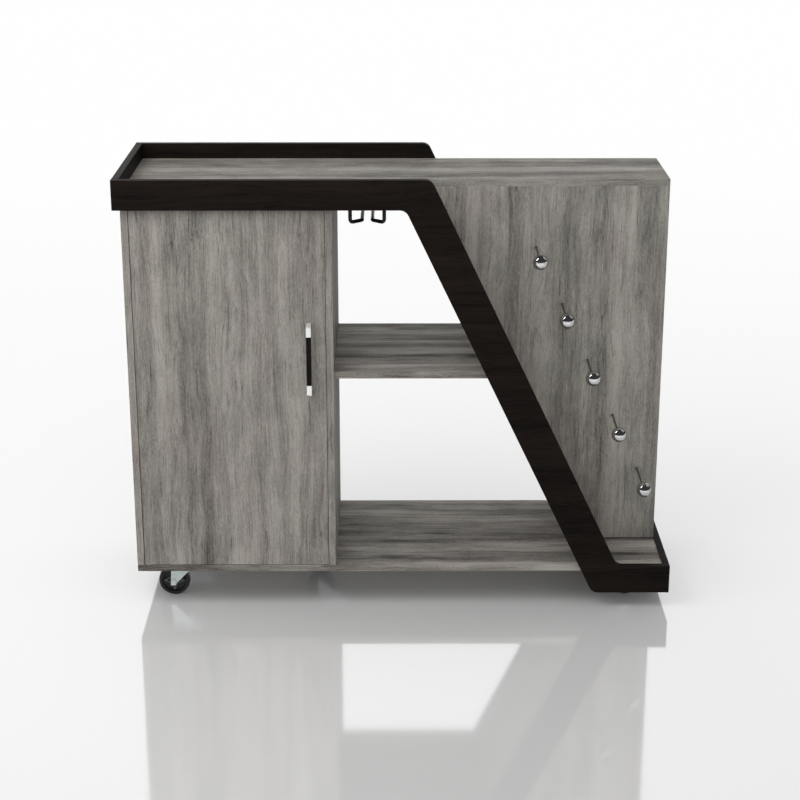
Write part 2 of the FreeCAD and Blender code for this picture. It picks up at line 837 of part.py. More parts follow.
def make_handle():
    """A black bar between two bright cranked ends."""
    outer = f"({IN_FRONT} - handle_reach)"
    inner = f"({outer} + handle_bar)"
    for label, side in (("handle_bottom_end", "-"), ("handle_top_end", "+")):
        body = new_body(label)
        sketch = new_sketch(body, "YZ_Plane", "outline")
        tip = f"(handle_z {side} handle_length / 2)"
        step = f"(handle_z {side} (handle_length / 2 - handle_post))"
        root = f"(handle_z {side} handle_grip_length / 2)"
        points = [
            (IN_FRONT, tip), (outer, tip), (outer, root),
            (inner, root), (inner, step), (IN_FRONT, step),
        ]
        polygon(sketch, points)
        crank = pad(body, sketch, "handle_wide", both_ways=True)
        corner = (value(outer), value(tip))
        crank = round_edges(
            body, crank, "handle_round",
            lambda edge: runs_along(edge, 0)
            and abs(edge.CenterOfMass.y - corner[0]) < 0.01
            and abs(edge.CenterOfMass.z - corner[1]) < 0.01,
        )
        bore = new_sketch(body, "XZ_Plane", "bore", offset=f"-({IN_FRONT})")
        middle = handle_post_heights()[0 if side == "-" else 1]
        circle(bore, "0", middle, "handle_screw_radius + bore_clearance")
        pocket(body, bore, "handle_screw_bite", reverse=True)
        place(body, HANDLE_X, "0", "0")
    grip = box(
        "handle_grip", (f"{HANDLE_X} - handle_wide / 2", f"{HANDLE_X} + handle_wide / 2"),
        (outer, inner),
        ("handle_z - handle_grip_length / 2", "handle_z + handle_grip_length / 2"),
    )
    finished("handle_grip", grip)


def make_handle_screws():
    """Screws from the inside of the door into the handle's posts."""
    screws = []
    for index, z in enumerate(handle_post_heights()):
        shank = rod(
            f"handle_screw_shank_{index}", "handle_screw_radius",
            "board + handle_screw_bite - 1",
            (HANDLE_X, f"{IN_FRONT} - handle_screw_bite + 1", z), "y",
        )
        head = rod(
            f"handle_screw_head_{index}", "handle_screw_head_radius", "handle_screw_head",
            (HANDLE_X, DOOR_BACK, z), "y",
        )
        screws.append(fused(f"handle_screw_{index}", [shank, head]))
    group("handle_screws", screws)


# ---------------------------------------------------------------------- pegs


def peg_total():
    """How many pegs the slanting row holds."""
    return round(value("peg_count"))


def peg_z(index):
    """Height of a peg, evenly spread from the first one down."""
    first = f"({TOP_HIGH} - peg_from_top)"
    last = f"({BASE_TOP} + peg_from_base)"
    return f"({first} - {index} * ({first} - {last}) / (peg_count - 1))"


def peg_x(index):
    """X of a peg, off the leaning band."""
    return f"({band_outer(peg_z(index))} + peg_off_band - {index} * peg_drift)"


def make_peg(index):
    """A turned rod with a collar and stud, and the ball on its end."""
    body = new_body(f"peg_rod_{index + 1}")
    sketch = new_sketch(body, "YZ_Plane", "profile")
    stud_end = "(board + peg_nut)"
    polygon(sketch, [
        (PEG_TIP, "0"), (PEG_TIP, "peg_radius"), ("-peg_collar", "peg_radius"),
        ("-peg_collar", "peg_collar_radius"), ("0", "peg_collar_radius"),
        ("0", "peg_stud_radius"), (stud_end, "peg_stud_radius"), (stud_end, "0"),
    ])
    turn(body, sketch, "Y_Axis")
    place(body, peg_x(index), PEG_FACE, peg_z(index))
    label = f"peg_knob_{index + 1}"
    ball = DOC.addObject("Part::Sphere", f"{label}_ball")
    bind(ball, "Radius", "knob_radius")
    place(ball, peg_x(index), f"{PEG_FACE} - peg_reach", peg_z(index))
    socket = rod(
        f"{label}_socket", "peg_radius", "knob_radius",
        (peg_x(index), f"{PEG_FACE} + {PEG_TIP}", peg_z(index)), "y",
    )
    finished(label, cut(f"{label}_cut", ball, [socket]))


def make_peg_nuts():
    """Round nuts behind the peg panel."""
    nuts = []
    for index in range(peg_total()):
        start = (peg_x(index), PEG_BACK, peg_z(index))
        ring = rod(f"peg_nut_ring_{index}", "peg_nut_radius", "peg_nut", start, "y")
        bore = rod(f"peg_nut_bore_{index}", "peg_stud_radius", "peg_nut", start, "y")
        nuts.append(cut(f"peg_nut_{index}", ring, [bore]))
    group("peg_nuts", nuts)


# ---------------------------------------------------------------- glass rack


def rack_feet():
    """The side and the Y of each welded foot of the rack."""
    return [(side, y) for side in (-1, 1) for y in (RACK_FRONT, RACK_BACK)]


def foot_x(side):
    """X of a foot's leg: outside the slot by the flare."""
    return f"({RACK_X} + ({side}) * (rack_slot_half + rack_flare_x))"


def rack_wire(label, side):
    """One bent wire: leg, flare, rail, flare, leg, and a foot on each leg."""
    leg_x = value(foot_x(side))
    rail_x = value(f"{RACK_X} + ({side}) * rack_slot_half")
    front = value(RACK_FRONT)
    flare = value("rack_flare_y")
    high = value(f"{TOP_LOW} - rack_foot / 2")
    low = value(f"{TOP_LOW} - rack_drop")
    points = [
        FreeCAD.Vector(leg_x, front, high),
        FreeCAD.Vector(leg_x, front, low),
        FreeCAD.Vector(rail_x, front + flare, low),
        FreeCAD.Vector(rail_x, -front - flare, low),
        FreeCAD.Vector(leg_x, -front, low),
        FreeCAD.Vector(leg_x, -front, high),
    ]
    radius = value("rack_wire_radius")
    path = bent_path(points, 2 * radius)
    section = Part.Wire([Part.makeCircle(radius, points[0], FreeCAD.Vector(0, 0, -1))])
    wire = path.makePipeShell([section], True, False)
    half = value("rack_foot_half")
    long = value("rack_foot_long")
    thick = value("rack_foot")
    for y in (front, -front):
        outward = leg_x - long + half if side < 0 else leg_x - half
        corner = FreeCAD.Vector(outward, y - half, value(TOP_LOW) - thick)
        foot = Part.makeBox(long, 2 * half, thick, corner)
        wire = wire.fuse(foot)
    hole = value("rack_screw_radius + bore_clearance")
    for y in (front, -front):
        start = FreeCAD.Vector(value(screw_x(side)), y, value(TOP_LOW) - 2 * thick)
        wire = wire.cut(Part.makeCylinder(hole, 3 * thick, start))
    item = DOC.addObject("Part::Feature", label)
    item.Shape = wire.removeSplitter()
    item.Placement = FreeCAD.Placement()
    finished(label, item)


def screw_x(side):
    """X of a foot's screw, outside its leg."""
    return f"({foot_x(side)} + ({side}) * (rack_foot_long - rack_foot_half) * 0.6)"


def bent_path(points, radius):
    """Straight runs joined by tangent arcs of one radius."""
    edges = []
    start = points[0]
    for before, corner, after in zip(points, points[1:], points[2:]):
        back = (before - corner).normalize()
        ahead = (after - corner).normalize()
        half = back.getAngle(ahead) / 2
        reach = radius / math.tan(half)
        enter = corner + back * reach
        leave = corner + ahead * reach
        middle = (back + ahead).normalize()
        bulge = corner + middle * (radius / math.sin(half) - radius)
        edges.append(Part.LineSegment(start, enter).toShape())
        edges.append(Part.Arc(enter, bulge, leave).toShape())
        start = leave
    edges.append(Part.LineSegment(start, points[-1]).toShape())
    return Part.Wire(edges)


def rack_screw_solids(name, clearance):
    """Shanks of the screws that hold the rack's feet to the top."""
    shanks = []
    for index, (side, y) in enumerate(rack_feet()):
        shanks.append(rod(
            f"{name}_{index}", f"rack_screw_radius + {clearance}", "rack_screw_long",
            (screw_x(side), y, f"{TOP_LOW} - rack_foot"), "z",
        ))
    return shanks


def make_rack():
    """Two mirrored wires that hold stemmed glasses by the foot."""
    rack_wire("rack_wire_left", -1)
    rack_wire("rack_wire_right", 1)
    screws = []
    shanks = rack_screw_solids("rack_screw_shank", "0")
    for index, (side, y) in enumerate(rack_feet()):
        head = rod(
            f"rack_screw_head_{index}", "rack_screw_head_radius", "rack_screw_head",
            (screw_x(side), y, f"{TOP_LOW} - rack_foot - rack_screw_head"), "z",
        )
        screws.append(fused(f"rack_screw_{index}", [shanks[index], head]))
    group("rack_screws", screws)


# ------------------------------------------------------------------- casters

CASTERS = [
    ("front_left", CASTER_LEFT, CASTER_FRONT),
    ("front_right", CASTER_RIGHT, CASTER_FRONT),
    ("back_left", CASTER_LEFT, CASTER_BACK),
    ("back_right", CASTER_RIGHT, CASTER_BACK),
    ("middle", "(divider_x - caster_middle_off)", "(caster_middle_y)"),
]


def plate_screw_solids(name, clearance, with_head):
    """The four screws of every caster plate."""
    screws = []
    for where, x, y in CASTERS:
        for number, (side_x, side_y) in enumerate(((-1, -1), (-1, 1), (1, -1), (1, 1))):
            spot_x = f"({x} + ({side_x}) * plate_hole_x)"
            spot_y = f"({y} + ({side_y}) * plate_hole_y)"
            tag = f"{name}_{where}_{number}"
            shank = rod(tag, f"plate_screw_radius + {clearance}", "plate_screw_long",
                        (spot_x, spot_y, PLATE_LOW), "z")
            if with_head:
                head = rod(f"{tag}_head", "plate_screw_head_radius", "plate_screw_head",
                           (spot_x, spot_y, f"{PLATE_LOW} - plate_screw_head"), "z")
                shank = fused(f"{tag}_screw", [shank, head])
            screws.append(shank)
    return screws


def make_caster_plates():
    """Steel plates under the base, one to a caster."""
    plates = []
    for where, x, y in CASTERS:
        blank = box(
            f"plate_{where}_blank", (f"{x} - plate_half_x", f"{x} + plate_half_x"),
            (f"{y} - plate_half_y", f"{y} + plate_half_y"), (PLATE_LOW, BASE_LOW),
        )
        rounded = DOC.addObject("Part::Fillet", f"plate_{where}_round")
        rounded.Base = blank
        DOC.recompute()
        corner = value("plate_corner")
        rounded.Edges = [
            (number, corner, corner)
            for number, edge in enumerate(blank.Shape.Edges, start=1)
            if runs_along(edge, 2)
        ]
        bores = [rod(f"plate_{where}_kingpin_bore", "kingpin_radius", "plate_sheet",
                     (x, y, PLATE_LOW), "z")]
        for number, (side_x, side_y) in enumerate(((-1, -1), (-1, 1), (1, -1), (1, 1))):
            bores.append(rod(
                f"plate_{where}_bore_{number}", "plate_screw_radius + bore_clearance",
                "plate_sheet",
                (f"{x} + ({side_x}) * plate_hole_x", f"{y} + ({side_y}) * plate_hole_y",
                 PLATE_LOW), "z",
            ))
        plates.append(cut(f"plate_{where}", rounded, bores))
    group("caster_plates", plates)
    group("caster_screws", plate_screw_solids("caster_screw", "0", True))


def make_kingpins():
    """The rivets on which the forks swivel."""
    low = f"({FORK_LOW} - running_gap - kingpin_head)"
    pins = []
    for where, x, y in CASTERS:
        shank = rod(f"kingpin_{where}_shank", "kingpin_radius", f"{BASE_LOW} - {low}",
                    (x, y, low), "z")
        head = rod(f"kingpin_{where}_head", "kingpin_head_radius", "kingpin_head",
                   (x, y, low), "z")
        pins.append(fused(f"kingpin_{where}", [shank, head]))
    group("caster_kingpins", pins)


def wheel_x(where, x):
    """X of a wheel's axle: it trails to the nearer end of the cart, the middle one left."""
    return f"({x} + caster_trail)" if where.endswith("right") else f"({x} - caster_trail)"


def make_fork(where, x, y):
    """A pressed fork: two tapering cheeks, a top and a collar."""
    label = f"caster_fork_{where}"
    body = DOC.addObject("PartDesign::Body", f"{label}_blank")
    sketch = new_sketch(body, "XZ_Plane", "cheek")
    heel = "(-caster_trail - fork_heel)"
    foot_low = f"({AXLE_UP} - fork_drop)"
    polygon(sketch, [
        ("(-caster_trail - fork_heel_high)", FORK_HIGH),
        (heel, foot_low),
        ("(-caster_trail + fork_foot)", foot_low),
        ("(-caster_trail + fork_waist)", f"({AXLE_UP} - fork_waist_drop)"),
        ("fork_toe", FORK_LOW),
        ("fork_toe", FORK_HIGH),
    ])
    cheeks = pad(body, sketch, f"2 * {CHEEK_OUT}", both_ways=True)
    ends = [(value(heel), value(foot_low)), (value("fork_foot - caster_trail"), value(foot_low))]
    round_edges(
        body, cheeks, "fork_heel_round",
        lambda edge: runs_along(edge, 1) and any(is_near(edge, x, z) for x, z in ends),
        name="foot",
    )
    inside = new_sketch(body, "YZ_Plane", "inside")
    polygon(inside, [
        (f"(-{CHEEK_IN})", "0"), (CHEEK_IN, "0"),
        (CHEEK_IN, FORK_LOW), (f"(-{CHEEK_IN})", FORK_LOW),
    ])
    pocket(body, inside, "4 * wheel_radius", both_ways=True, name="wheel_space")
    collar = new_sketch(body, "XY_Plane", "collar", offset=FORK_HIGH)
    circle(collar, "0", "0", "collar_radius")
    pad(body, collar, "collar", name="collar")
    bore = new_sketch(body, "XY_Plane", "bore", offset=FORK_LOW)
    circle(bore, "0", "0", "kingpin_radius + running_fit")
    pocket(body, bore, f"{PLATE_LOW} - {FORK_LOW}", reverse=True, name="swivel_bore")
    if where.endswith("right"):
        body.Placement.Rotation = FreeCAD.Rotation(FreeCAD.Vector(0, 0, 1), 180)
    place(body, x, y, "0")
    axle_hole = rod(
        f"{label}_axle_bore", "axle_radius", f"2 * {CHEEK_OUT}",
        (wheel_x(where, x), f"{y} - {CHEEK_OUT}", AXLE_UP), "y",
    )
    finished(label, cut(f"{label}_cut", body, [axle_hole]))


def make_axle(where, x, y):
    """A headed axle, riveted through both cheeks."""
    label = f"caster_axle_{where}"
    centre_x = wheel_x(where, x)
    shaft = rod(f"{label}_shaft", "axle_radius", f"2 * {CHEEK_OUT}",
                (centre_x, f"{y} - {CHEEK_OUT}", AXLE_UP), "y")
    near = rod(f"{label}_near", "axle_head_radius", "axle_head",
               (centre_x, f"{y} - {CHEEK_OUT} - axle_head", AXLE_UP), "y")
    far = rod(f"{label}_far", "axle_head_radius", "axle_head",
              (centre_x, f"{y} + {CHEEK_OUT}", AXLE_UP), "y")
    finished(label, fused(f"{label}_solid", [shaft, near, far]))


def make_wheel(where, x, y):
    """A moulded wheel: round-edged tread, thin web, hub and four V ribs."""
    body = new_body(f"caster_wheel_{where}")
    sketch = new_sketch(body, "YZ_Plane", "profile")
    bore = "(axle_radius + running_fit)"
    shoulder = "(wheel_half - wheel_edge)"
    crown = "(wheel_radius - wheel_edge)"
    rim = "(wheel_radius - wheel_rim)"
    hub = f"({CHEEK_IN} - fork_gap / 3)"
    half = [
        (hub, bore), (hub, "wheel_hub_radius"), ("web_half", "wheel_hub_radius"),
        ("web_half", rim), ("wheel_half", rim), ("wheel_half", crown),
        (shoulder, "wheel_radius"),
    ]
    mirrored = [(f"(-{across})", up) for across, up in reversed(half)]
    polygon(sketch, half + mirrored)
    turn(body, sketch, "Y_Axis")
    ribs = new_sketch(body, "XZ_Plane", "ribs")
    polygon(ribs, [
        ("(-rib_spread)", "rib_root"),
        ("0", "rib_tip"),
        ("rib_spread", "rib_root"),
        ("(rib_spread - rib_across)", "rib_root"),
        ("0", "(rib_tip - rib_across * rib_tip / rib_spread)"),
        ("(rib_across - rib_spread)", "rib_root"),
    ])
    rib = pad(body, ribs, "2 * (wheel_half - rib_sink)", both_ways=True, name="rib")
    spread = body.newObject("PartDesign::PolarPattern", f"{body.Name}_spread")
    spread.Originals = [rib]
    axis = [entry for entry in body.Origin.OriginFeatures if entry.Role == "Y_Axis"][0]
    spread.Axis = (axis, [""])
    spread.Angle = 360
    spread.Occurrences = 4
    body.Tip = spread
    place(body, wheel_x(where, x), y, AXLE_UP)


def make_casters():
    make_caster_plates()
    make_kingpins()
    for where, x, y in CASTERS:
        make_fork(where, x, y)
        make_axle(where, x, y)
        make_wheel(where, x, y)


# --------------------------------------------------------------------- build


def build():
    make_frames()
    make_end_boards()
    make_top_panel()
    make_base_panel()
    make_uprights()
    make_slanted_panel()
    make_peg_panel()
    make_shelves()
    make_cabinet_back()
    make_header_rail()
    make_shelf_pins()
    make_dowels()
    make_base_screws()
    make_door()
    make_pivot_pins()
    make_pivot_bushes()
    make_catch()
    make_handle()
    make_handle_screws()
    for index in range(peg_total()):
        make_peg(index)
    make_peg_nuts()
    make_rack()
    make_casters()
    DOC.recompute()


def check():
    """Stop if any object failed or any sub-part has no sound shape."""
    for item in DOC.Objects:
        if {"Invalid", "Error"} & set(item.State):
            raise RuntimeError(f"{item.Label} failed: {item.State}")
    for label, item in PARTS.items():
        if item.Shape.isNull() or not item.Shape.isValid():
            raise RuntimeError(f"{label} has no valid shape")


def export():
    os.makedirs("parts", exist_ok=True)
    for label, item in PARTS.items():
        item.Shape.exportStep(f"parts/{label}.step")


build()
check()
export()
print(len(PARTS), "parts")
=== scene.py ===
import bmesh
import bpy
import json
import math
from mathutils import Matrix, Vector


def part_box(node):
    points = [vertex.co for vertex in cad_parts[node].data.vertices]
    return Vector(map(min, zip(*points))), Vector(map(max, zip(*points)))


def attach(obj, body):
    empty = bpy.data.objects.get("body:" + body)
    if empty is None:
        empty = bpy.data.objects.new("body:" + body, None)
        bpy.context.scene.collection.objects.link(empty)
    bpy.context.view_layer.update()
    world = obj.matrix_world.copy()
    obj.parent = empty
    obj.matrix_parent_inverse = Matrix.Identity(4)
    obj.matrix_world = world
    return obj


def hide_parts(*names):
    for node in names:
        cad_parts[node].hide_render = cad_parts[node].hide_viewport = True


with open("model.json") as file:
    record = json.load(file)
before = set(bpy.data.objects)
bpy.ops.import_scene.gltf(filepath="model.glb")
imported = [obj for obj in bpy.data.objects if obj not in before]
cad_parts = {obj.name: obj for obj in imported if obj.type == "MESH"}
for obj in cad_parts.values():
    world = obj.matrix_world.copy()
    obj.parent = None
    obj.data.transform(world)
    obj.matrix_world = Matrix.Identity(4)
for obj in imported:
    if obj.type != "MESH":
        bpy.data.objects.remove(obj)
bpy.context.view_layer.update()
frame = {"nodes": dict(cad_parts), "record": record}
scene = bpy.context.scene
record = frame["record"]

# Studio. A slightly raised long-lens view of the front, a pale polished floor
# and a pale room. Two lamps light the cart from the left; three cards light
# nothing and only show in the polished parts.
eye = bpy.data.objects.new("view", bpy.data.cameras.new("view"))
scene.collection.objects.link(eye)
eye.data.sensor_width = 36
eye.data.lens = 82.1
eye.location = (-0.0115, -3.9185, 1.7719)
eye.rotation_euler = (math.pi / 2 - 0.332, 0, -0.003)
scene.camera = eye
scene.view_settings.view_transform = "Standard"

floor_half = 40
floor_pale = 0.84
floor_shine = 0.42
floor_mesh = bpy.data.meshes.new("floor")
floor_mesh.from_pydata(
    [(-floor_half, -floor_half, 0), (floor_half, -floor_half, 0),
     (floor_half, floor_half, 0), (-floor_half, floor_half, 0)],
    [], [(0, 1, 2, 3)],
)
floor = bpy.data.objects.new("floor", floor_mesh)
scene.collection.objects.link(floor)


def new_material(name):
    """An empty node material with its output node."""
    material = bpy.data.materials.new(name)
    material.use_nodes = True
    material.node_tree.nodes.clear()
    output = material.node_tree.nodes.new("ShaderNodeOutputMaterial")
    return material, material.node_tree, output


polish, tree, output = new_material("polished_floor")
matt = tree.nodes.new("ShaderNodeBsdfDiffuse")
matt.inputs["Color"].default_value = (floor_pale, floor_pale, floor_pale, 1)
gloss = tree.nodes.new("ShaderNodeBsdfGlossy")
gloss.inputs["Roughness"].default_value = 0.07
blend = tree.nodes.new("ShaderNodeMixShader")
blend.inputs["Fac"].default_value = floor_shine
tree.links.new(matt.outputs[0], blend.inputs[1])
tree.links.new(gloss.outputs[0], blend.inputs[2])
tree.links.new(blend.outputs[0], output.inputs["Surface"])
floor_mesh.materials.append(polish)

# The room is brightest at the horizon. What shines sees it dark above the floor
# in front, so that polished parts are dark on top and pale below.
room_strength = 1.70
room_levels = ((0.0, 1.0), (0.2, 0.98), (0.41, 0.72), (0.7, 0.42), (1.0, 0.35))
dark_from = (("Z", 0.005, 0.03), ("Y", 0.80, 0.70))
dark_tone = (0.02, 0.02, 0.022, 1)
room = bpy.data.worlds.new("room")
room.use_nodes = True
scene.world = room
tree = room.node_tree
tree.nodes.clear()
way = tree.nodes.new("ShaderNodeTexCoord")
parts = tree.nodes.new("ShaderNodeSeparateXYZ")
tree.links.new(way.outputs["Generated"], parts.inputs[0])
glow = tree.nodes.new("ShaderNodeValToRGB")
while len(glow.color_ramp.elements) < len(room_levels):
    glow.color_ramp.elements.new(0.5)
for stop, (rise, level) in zip(glow.color_ramp.elements, room_levels):
    stop.position = rise
    stop.color = (level, level, level, 1)
tree.links.new(parts.outputs["Z"], glow.inputs["Fac"])
dark_side = []
for axis, start, end in dark_from:
    edge = tree.nodes.new("ShaderNodeMapRange")
    edge.inputs["From Min"].default_value = start
    edge.inputs["From Max"].default_value = end
    tree.links.new(parts.outputs[axis], edge.inputs["Value"])
    dark_side.append(edge.outputs[0])
dark_side.append(tree.nodes.new("ShaderNodeLightPath").outputs["Is Glossy Ray"])
dim = dark_side[0]
for other in dark_side[1:]:
    product = tree.nodes.new("ShaderNodeMath")
    product.operation = "MULTIPLY"
    tree.links.new(dim, product.inputs[0])
    tree.links.new(other, product.inputs[1])
    dim = product.outputs[0]
tone = tree.nodes.new("ShaderNodeMix")
tone.data_type = "RGBA"
tone.inputs["B"].default_value = dark_tone
tree.links.new(dim, tone.inputs["Factor"])
tree.links.new(glow.outputs["Color"], tone.inputs["A"])
sky = tree.nodes.new("ShaderNodeBackground")
sky.inputs["Strength"].default_value = room_strength
tree.links.new(tone.outputs["Result"], sky.inputs["Color"])
tree.links.new(sky.outputs[0], tree.nodes.new("ShaderNodeOutputWorld").inputs["Surface"])


def softbox(name, place, wide, tall, watts, lights=True, reflected=True, aim=(0, 0, 0.6)):
    """A rectangular lamp that faces the cart; one that doesn't light is a card to reflect."""
    lamp = bpy.data.objects.new(name, bpy.data.lights.new(name, "AREA"))
    lamp.data.shape = "RECTANGLE"
    lamp.data.size = wide
    lamp.data.size_y = tall
    lamp.data.energy = watts
    lamp.location = place
    lamp.rotation_euler = (Vector(aim) - Vector(place)).to_track_quat("-Z", "Y").to_euler()
    lamp.visible_camera = False
    lamp.visible_diffuse = lights
    lamp.visible_glossy = reflected
    scene.collection.objects.link(lamp)


softbox("front_lamp", (-0.9, -0.95, 2.0), 1.6, 1.0, 14, reflected=False)
softbox("left_lamp", (-1.9, -0.5, 2.6), 1.2, 1.2, 6, reflected=False)
softbox("strip_card", (-1.9, -0.57, 2.85), 0.5, 1.8, 14, lights=False)
softbox("side_card", (2.6, 0.9, 2.9), 2.4, 2.2, 5, lights=False)
softbox("floor_card", (0, -2.6, 0.01), 4.5, 3.4, 12, lights=False, aim=(0, -2.6, 1))

# Grey boards. Particle board faced with a weathered grey oak print, edges
# taped in the same print; the grain runs up the uprights and along the flats.
body_of = {node: body for body, nodes in record["behaviour"]["bodies"].items() for node in nodes}


def eased(node, ease, material, steps=2, corner=32):
    """A copy of a made piece with its sharp edges eased, in its own finish."""
    mesh = frame["nodes"][node].data.copy()
    shape = bmesh.new()
    shape.from_mesh(mesh)
    bmesh.ops.remove_doubles(shape, verts=shape.verts, dist=1e-6)
    bmesh.ops.dissolve_limit(
        shape, angle_limit=math.radians(0.5), verts=shape.verts, edges=shape.edges
    )
    shape.to_mesh(mesh)
    shape.free()
    mesh.materials.clear()
    mesh.materials.append(material)
    piece = bpy.data.objects.new(f"{node}_finish", mesh)
    scene.collection.objects.link(piece)
    mesh.shade_smooth()
    bevel = piece.modifiers.new("ease", "BEVEL")
    bevel.width = ease
    bevel.segments = steps
    bevel.limit_method = "ANGLE"
    bevel.angle_limit = math.radians(corner)
    bevel.use_clamp_overlap = True
    weigh = piece.modifiers.new("weigh", "WEIGHTED_NORMAL")
    weigh.weight = 90
    view = bpy.context.evaluated_depsgraph_get()
    piece.data = bpy.data.meshes.new_from_object(piece.evaluated_get(view))
    piece.modifiers.clear()
    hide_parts(node)
    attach(piece, body_of[node])
    return piece


class Grain:
    """Chains of nodes that draw wood in stretched object coordinates."""

    def __init__(self, tree, along, seed, lean=0.0):
        self.tree = tree
        self.along = along
        place = tree.nodes.new("ShaderNodeTexCoord")
        self.shifted = tree.nodes.new("ShaderNodeMapping")
        self.shifted.inputs["Location"].default_value = (seed * 0.71, seed * 0.37, seed * 1.13)
        self.shifted.inputs["Rotation"].default_value = (0, lean, 0)
        tree.links.new(place.outputs["Object"], self.shifted.inputs["Vector"])
        wander = self.noise(self.shifted.outputs[0], 8, 2.6, 3, 0.55)
        sway = tree.nodes.new("ShaderNodeVectorMath")
        sway.operation = "SCALE"
        sway.inputs["Scale"].default_value = 0.05
        tree.links.new(wander.outputs["Color"], sway.inputs[0])
        self.waved = tree.nodes.new("ShaderNodeVectorMath")
        tree.links.new(self.shifted.outputs[0], self.waved.inputs[0])
        tree.links.new(sway.outputs[0], self.waved.inputs[1])

    def stretch(self, source, across, lengthwise):
        """Coordinates squeezed across the grain and drawn out along it."""
        node = self.tree.nodes.new("ShaderNodeMapping")
        scale = [across] * 3
        scale["XYZ".index(self.along)] = lengthwise
        node.inputs["Scale"].default_value = scale
        self.tree.links.new(source, node.inputs["Vector"])
        return node.outputs[0]

    def noise(self, source, across, lengthwise, detail, rough):
        """A noise whose features are long along the grain."""
        node = self.tree.nodes.new("ShaderNodeTexNoise")
        node.inputs["Scale"].default_value = 1
        node.inputs["Detail"].default_value = detail
        node.inputs["Roughness"].default_value = rough
        self.tree.links.new(self.stretch(source, across, lengthwise), node.inputs["Vector"])
        return node

    def band(self, source, low, high):
        """A value moved from a range to 0..1."""
        node = self.tree.nodes.new("ShaderNodeMapRange")
        node.inputs["From Min"].default_value = low
        node.inputs["From Max"].default_value = high
        self.tree.links.new(source, node.inputs["Value"])
        return node.outputs[0]

    def add(self, total, source, share):
        """total + share * source; total may be a number or a socket."""
        node = self.tree.nodes.new("ShaderNodeMath")
        node.operation = "MULTIPLY_ADD"
        node.inputs[1].default_value = share
        self.tree.links.new(source, node.inputs[0])
        if isinstance(total, float):
            node.inputs[2].default_value = total
        else:
            self.tree.links.new(total, node.inputs[2])
        return node.outputs[0]


def grey_oak(name, along, seed, figure=1.0, lean=0.0, painted_shade=0.0):
    """Grey oak print; figure strengthens its bands, lean tilts them, the last argument darkens
    it: painted shading for a board lit less than the fronts.
    """
    material, tree, output = new_material(name)
    grain = Grain(tree, along, seed, lean)
    waved = grain.waved.outputs[0]
    broad = grain.noise(waved, 21, 0.9, 2, 0.55)
    middle = grain.noise(waved, 90, 2.6, 3, 0.62)
    fibre = grain.noise(waved, 420, 8, 3, 0.72)
    pores = grain.noise(waved, 420, 11, 2, 0.6)
    scratch = grain.noise(waved, 210, 3.5, 2, 0.6)
    mottle = grain.noise(grain.shifted.outputs[0], 22, 11, 3, 0.6)
    speckle = grain.noise(grain.shifted.outputs[0], 420, 170, 2, 0.7)
    knots = tree.nodes.new("ShaderNodeTexVoronoi")
    knots.inputs["Scale"].default_value = 1
    knots.inputs["Randomness"].default_value = 1
    tree.links.new(grain.stretch(waved, 8.5, 2.6), knots.inputs["Vector"])
    arches = tree.nodes.new("ShaderNodeTexWave")
    arches.wave_type = "RINGS"
    arches.rings_direction = "SPHERICAL"
    arches.inputs["Scale"].default_value = 1
    arches.inputs["Distortion"].default_value = 5
    arches.inputs["Detail"].default_value = 3
    arches.inputs["Detail Scale"].default_value = 1.2
    tree.links.new(grain.stretch(waved, 9, 0.75), arches.inputs["Vector"])
    pale = -0.10 - 0.31 * (figure - 1) - painted_shade
    for source, low, high, share in (
        (broad.outputs["Fac"], 0.3, 0.7, 0.42 * figure),
        (middle.outputs["Fac"], 0.3, 0.7, 0.20 * figure),
        (fibre.outputs["Fac"], 0.32, 0.68, 0.30),
        (mottle.outputs["Fac"], 0.32, 0.68, 0.18),
        (speckle.outputs["Fac"], 0.3, 0.7, 0.24),
        (arches.outputs["Fac"], 0.0, 1.0, 0.08),
        (pores.outputs["Fac"], 0.60, 0.68, -0.20),
        (scratch.outputs["Fac"], 0.62, 0.67, -0.20),
        (knots.outputs["Distance"], 0.14, 0.02, -0.28),
    ):
        pale = grain.add(pale, grain.band(source, low, high), share)
    ramp = tree.nodes.new("ShaderNodeValToRGB")
    ramp.color_ramp.elements[0].position = 0.05
    ramp.color_ramp.elements[0].color = (0.049, 0.046, 0.042, 1)
    ramp.color_ramp.elements[1].position = 0.95
    ramp.color_ramp.elements[1].color = (0.328, 0.314, 0.281, 1)
    half = ramp.color_ramp.elements.new(0.5)
    half.color = (0.179, 0.171, 0.1525, 1)
    tree.links.new(pale, ramp.inputs["Fac"])
    hue = grain.noise(grain.shifted.outputs[0], 9, 3, 2, 0.5)
    tint = tree.nodes.new("ShaderNodeMix")
    tint.data_type = "RGBA"
    tint.blend_type = "MULTIPLY"
    tint.inputs["B"].default_value = (1.02, 0.975, 0.99, 1)
    tree.links.new(grain.band(hue.outputs["Fac"], 0.4, 0.6), tint.inputs["Factor"])
    tree.links.new(ramp.outputs["Color"], tint.inputs["A"])
    surface = tree.nodes.new("ShaderNodeBsdfPrincipled")
    surface.inputs["Specular IOR Level"].default_value = 0.04
    tree.links.new(tint.outputs["Result"], surface.inputs["Base Color"])
    tree.links.new(grain.add(0.62, pale, -0.16), surface.inputs["Roughness"])
    bump = tree.nodes.new("ShaderNodeBump")
    bump.inputs["Strength"].default_value = 0.25
    bump.inputs["Distance"].default_value = 0.0004
    tree.links.new(pale, bump.inputs["Height"])
    tree.links.new(bump.outputs[0], surface.inputs["Normal"])
    tree.links.new(surface.outputs[0], output.inputs["Surface"])
    return material


